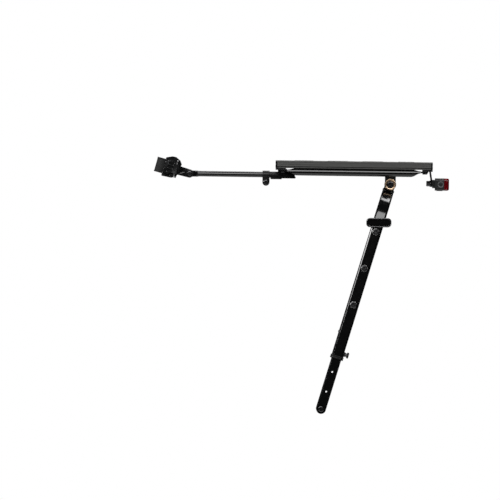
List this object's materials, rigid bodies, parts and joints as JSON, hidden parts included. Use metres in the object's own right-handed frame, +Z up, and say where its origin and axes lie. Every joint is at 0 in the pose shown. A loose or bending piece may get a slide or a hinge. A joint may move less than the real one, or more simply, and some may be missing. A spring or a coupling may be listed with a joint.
{
  "type": "bicycle rear rack",
  "caption": "Bicycle rear rack: slim deck with pannier tubes on a hinged hoop with telescoping legs, a sliding arm with a seatpost strap clamp, and a tail light.",
  "frame": {"origin": "centre of the deck top face", "axes": "+X towards the back of the bicycle, +Y to its right, +Z up"},
  "size_m": [0.4952, 0.1852, 0.4279],
  "materials": {
    "rail_aluminium": "satin anodised, drawn lines",
    "black_coat": "gloss powder coat",
    "black_anodised": "satin anodised",
    "bronze_ring": "polished anodised",
    "black_steel": "black oxide",
    "bright_steel": "zinc plated",
    "nylon": "moulded, fine grain",
    "strap_rubber": "matte moulded",
    "light_shell": "moulded, fine grain",
    "red_lens": "translucent red",
    "grey_plastic": "satin",
    "circuit": "solder mask",
    "emitter": "clear epoxy",
    "battery": "wrapped cell"
  },
  "bodies": {
    "deck": {"side_rail_right": "rail_aluminium", "side_rail_left": "rail_aluminium", "deck_plate": "rail_aluminium", "cross_beams": "black_anodised", "rear_cap": "nylon", "front_cap": "nylon", "pannier_tube_right": "black_coat", "pannier_tube_left": "black_coat", "underside_bolts": "black_steel", "beam_bolts": "black_steel", "pivot_hanger": "black_anodised", "pivot_bushes": "bronze_ring", "pivot_bolt": "black_steel", "pivot_nut": "black_steel", "tongue_bracket": "black_anodised", "arm_clamp": "black_anodised", "arm_clamp_bolt": "black_steel", "arm_clamp_nut": "black_steel", "light_bracket": "black_anodised", "light_knob": "black_steel", "light_mount": "light_shell", "light_housing": "light_shell", "light_lens": "red_lens", "light_board": "circuit", "light_emitters": "emitter", "light_battery": "battery", "button_ring": "grey_plastic"},
    "light_button": {"light_button": "light_shell"},
    "arm": {"arm_rod": "black_coat"},
    "seat_clamp": {"clamp_block": "nylon", "clamp_strap": "strap_rubber", "strap_liner": "strap_rubber", "buckle_frame": "nylon", "strap_anchor": "nylon", "anchor_bolts": "black_steel", "lever_pin": "black_steel", "clamp_fork": "nylon", "fork_bolt": "black_steel", "fork_washers": "black_steel", "fork_nut": "black_steel"},
    "clamp_lever": {"clamp_lever": "nylon"},
    "hoop": {"hoop": "black_coat", "pivot_lug": "black_coat", "cuff_right": "black_coat", "cuff_left": "black_coat", "leg_tube_right": "black_coat", "leg_tube_left": "black_coat", "cage_inserts": "bright_steel", "cage_bolts": "black_steel", "leg_collars": "black_anodised", "screw_bosses": "black_anodised", "stop_rivets": "black_steel"},
    "lower_leg_right": {"lower_leg_right": "black_coat", "axle_bolt_right": "black_steel", "foot_washer_right": "bright_steel"},
    "thumb_screw_right": {"thumb_screw_right": "black_steel"},
    "lower_leg_left": {"lower_leg_left": "black_coat", "axle_bolt_left": "black_steel", "foot_washer_left": "bright_steel"},
    "thumb_screw_left": {"thumb_screw_left": "black_steel"}
  },
  "joints": [
    {"name": "hoop_swing", "type": "hinge", "parent": "deck", "child": "hoop", "pos_m": [0.0612, 0, -0.0377], "axis": [0, 1, 0], "range_deg": [-20, 60]},
    {"name": "arm_slide", "type": "slide", "parent": "deck", "child": "arm", "axis": [1, 0, 0], "range_m": [-0.03, 0.04]},
    {"name": "clamp_tilt", "type": "hinge", "parent": "arm", "child": "seat_clamp", "pos_m": [-0.2759, 0, -0.024], "axis": [0, 1, 0], "range_deg": [-35, 35]},
    {"name": "lever_swing", "type": "hinge", "parent": "seat_clamp", "child": "clamp_lever", "pos_m": [-0.29765, -0.0228, -0.01715], "axis": [0.2588, 0, 0.9659], "range_deg": [0, 110]},
    {"name": "button_press", "type": "slide", "parent": "deck", "child": "light_button", "axis": [0, 1, 0], "range_m": [0, 0.0012], "stiffness_N_per_m": 500},
    {"name": "leg_slide_right", "type": "slide", "parent": "hoop", "child": "lower_leg_right", "axis": [-0.2816, 0.0732, -0.9567], "range_m": [-0.03, 0.025]},
    {"name": "thumb_turn_right", "type": "hinge", "parent": "hoop", "child": "thumb_screw_right", "pos_m": [-0.01312, 0.07638, -0.32386], "axis": [0.9593, 0, -0.2823], "continuous": true},
    {"name": "leg_slide_left", "type": "slide", "parent": "hoop", "child": "lower_leg_left", "axis": [-0.2816, -0.0732, -0.9567], "range_m": [-0.03, 0.025]},
    {"name": "thumb_turn_left", "type": "hinge", "parent": "hoop", "child": "thumb_screw_left", "pos_m": [-0.01312, -0.07638, -0.32386], "axis": [0.9593, 0, -0.2823], "continuous": true}
  ]
}
